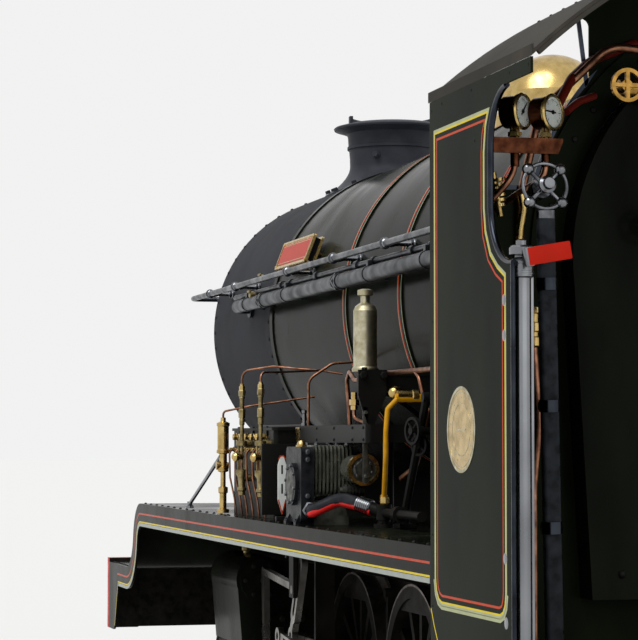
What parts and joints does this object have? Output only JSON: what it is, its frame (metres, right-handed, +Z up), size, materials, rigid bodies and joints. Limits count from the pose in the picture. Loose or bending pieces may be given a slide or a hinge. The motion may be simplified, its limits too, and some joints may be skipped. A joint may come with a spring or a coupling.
{
  "type": "narrow-gauge steam locomotive",
  "caption": "Narrow-gauge tender engine without its tender: outside cylinders, coupled spoked wheels, swivelling trucks, hinged smokebox door and open-backed cab.",
  "frame": {"origin": "middle of the footprint, level with the bottom of the wheel flanges", "axes": "+X to the front of the locomotive, +Y to its left, +Z up"},
  "size_m": [3.75, 1.2, 1.609],
  "materials": {
    "black_paint": "gloss",
    "smokebox_paint": "matt",
    "red_paint": "gloss",
    "line_red": "gloss",
    "roof_paint": "matt",
    "frame_paint": "satin",
    "bright_steel": "polished",
    "cast_iron": "painted",
    "brass": "polished",
    "copper": "polished",
    "grey_steel": "satin"
  },
  "bodies": {
    "chassis": {"main_frames": "frame_paint", "axleboxes": "cast_iron", "smokebox_saddle": "black_paint", "cylinders": "black_paint", "crossheads": "bright_steel", "slide_bars": "bright_steel", "valve_gears": "bright_steel", "motion_plate": "black_paint", "deck_brackets": "black_paint", "front_platform": "black_paint", "running_plates": "black_paint", "buffer_beam": "red_paint", "front_coupler": "cast_iron", "drag_beam": "frame_paint", "smokebox": "smokebox_paint", "door_hinge": "smokebox_paint", "chimney": "smokebox_paint", "boiler": "black_paint", "boiler_bands": "line_red", "dome": "brass", "safety_valves": "brass", "cab_front": "black_paint", "cab_side_left": "black_paint", "cab_side_right": "black_paint", "cab_pillars": "bright_steel", "cab_roof": "roof_paint", "cab_floor": "black_paint", "handrails": "bright_steel", "side_pipes": "grey_steel", "nameplate": "brass", "lubricator": "brass", "lubricator_bracket": "black_paint", "oil_box": "black_paint", "oil_pumps": "brass", "deck_tank": "black_paint", "compressor": "grey_steel", "cab_gauges": "copper", "reverser": "bright_steel", "springs": "frame_paint", "brake_gear": "frame_paint", "air_hose": "cast_iron", "hose_elbow": "cast_iron", "oil_pipe": "brass", "backhead_fittings": "brass", "ashpan": "frame_paint"},
    "coupled_wheelset_1": {"coupled_wheelset_1": "black_paint"},
    "coupled_wheelset_2": {"coupled_wheelset_2": "black_paint"},
    "coupled_wheelset_3": {"coupled_wheelset_3": "black_paint"},
    "coupled_wheelset_4": {"coupled_wheelset_4": "black_paint"},
    "coupling_rod_left": {"coupling_rod_left": "bright_steel"},
    "coupling_rod_right": {"coupling_rod_right": "bright_steel"},
    "connecting_rod_left": {"connecting_rod_left": "bright_steel"},
    "connecting_rod_right": {"connecting_rod_right": "bright_steel"},
    "eccentric_rod_left": {"eccentric_rod_left": "bright_steel"},
    "eccentric_rod_right": {"eccentric_rod_right": "bright_steel"},
    "leading_truck": {"leading_truck": "frame_paint"},
    "leading_wheelset": {"leading_wheelset": "black_paint"},
    "trailing_truck": {"trailing_truck": "frame_paint"},
    "trailing_wheelset": {"trailing_wheelset": "black_paint"},
    "smokebox_door": {"smokebox_door": "smokebox_paint"}
  },
  "joints": [
    {"name": "coupled_spin_1", "type": "hinge", "parent": "chassis", "child": "coupled_wheelset_1", "pos_m": [0.455, 0, 0.2405], "axis": [0, 1, 0], "continuous": true},
    {"name": "coupled_spin_2", "type": "hinge", "parent": "chassis", "child": "coupled_wheelset_2", "pos_m": [-0.035, 0, 0.2405], "axis": [0, 1, 0], "continuous": true},
    {"name": "coupled_spin_3", "type": "hinge", "parent": "chassis", "child": "coupled_wheelset_3", "pos_m": [-0.525, 0, 0.2405], "axis": [0, 1, 0], "continuous": true},
    {"name": "coupled_spin_4", "type": "hinge", "parent": "chassis", "child": "coupled_wheelset_4", "pos_m": [-1.015, 0, 0.2405], "axis": [0, 1, 0], "continuous": true},
    {"name": "coupling_rod_pin_left", "type": "hinge", "parent": "coupled_wheelset_3", "child": "coupling_rod_left", "pos_m": [-0.525, 0.2625, 0.1325], "axis": [0, 1, 0], "continuous": true},
    {"name": "connecting_rod_pin_left", "type": "hinge", "parent": "coupled_wheelset_3", "child": "connecting_rod_left", "pos_m": [-0.525, 0.3585, 0.1325], "axis": [0, 1, 0], "continuous": true},
    {"name": "eccentric_rod_pin_left", "type": "hinge", "parent": "coupled_wheelset_3", "child": "eccentric_rod_left", "pos_m": [-0.47, 0.419, 0.2405], "axis": [0, 1, 0], "continuous": true},
    {"name": "coupling_rod_pin_right", "type": "hinge", "parent": "coupled_wheelset_3", "child": "coupling_rod_right", "pos_m": [-0.633, -0.2625, 0.2405], "axis": [0, 1, 0], "continuous": true},
    {"name": "connecting_rod_pin_right", "type": "hinge", "parent": "coupled_wheelset_3", "child": "connecting_rod_right", "pos_m": [-0.633, -0.3585, 0.2405], "axis": [0, 1, 0], "continuous": true},
    {"name": "eccentric_rod_pin_right", "type": "hinge", "parent": "coupled_wheelset_3", "child": "eccentric_rod_right", "pos_m": [-0.525, -0.419, 0.1855], "axis": [0, 1, 0], "continuous": true},
    {"name": "leading_swivel", "type": "hinge", "parent": "chassis", "child": "leading_truck", "pos_m": [0.905, 0, 0.158], "axis": [0, 0, 1], "range_deg": [-4, 4]},
    {"name": "trailing_swivel", "type": "hinge", "parent": "chassis", "child": "trailing_truck", "pos_m": [-1.265, 0, 0.164], "axis": [0, 0, 1], "range_deg": [-4, 4]},
    {"name": "leading_spin", "type": "hinge", "parent": "leading_truck", "child": "leading_wheelset", "pos_m": [1.275, 0, 0.158], "axis": [0, 1, 0], "continuous": true},
    {"name": "trailing_spin", "type": "hinge", "parent": "trailing_truck", "child": "trailing_wheelset", "pos_m": [-1.595, 0, 0.168], "axis": [0, 1, 0], "continuous": true},
    {"name": "smokebox_door_hinge", "type": "hinge", "parent": "chassis", "child": "smokebox_door", "pos_m": [1.371, -0.302, 1.063], "axis": [0, 0, 1], "range_deg": [-110, 0]}
  ],
  "couplings": [
    {"joint": "coupled_spin_1", "follows": "coupled_spin_3", "ratio": 1},
    {"joint": "coupled_spin_2", "follows": "coupled_spin_3", "ratio": 1},
    {"joint": "coupled_spin_4", "follows": "coupled_spin_3", "ratio": 1},
    {"joint": "coupling_rod_pin_left", "follows": "coupled_spin_3", "ratio": -1},
    {"joint": "connecting_rod_pin_left", "follows": "coupled_spin_3", "ratio": -1},
    {"joint": "eccentric_rod_pin_left", "follows": "coupled_spin_3", "ratio": -1},
    {"joint": "coupling_rod_pin_right", "follows": "coupled_spin_3", "ratio": -1},
    {"joint": "connecting_rod_pin_right", "follows": "coupled_spin_3", "ratio": -1},
    {"joint": "eccentric_rod_pin_right", "follows": "coupled_spin_3", "ratio": -1}
  ]
}
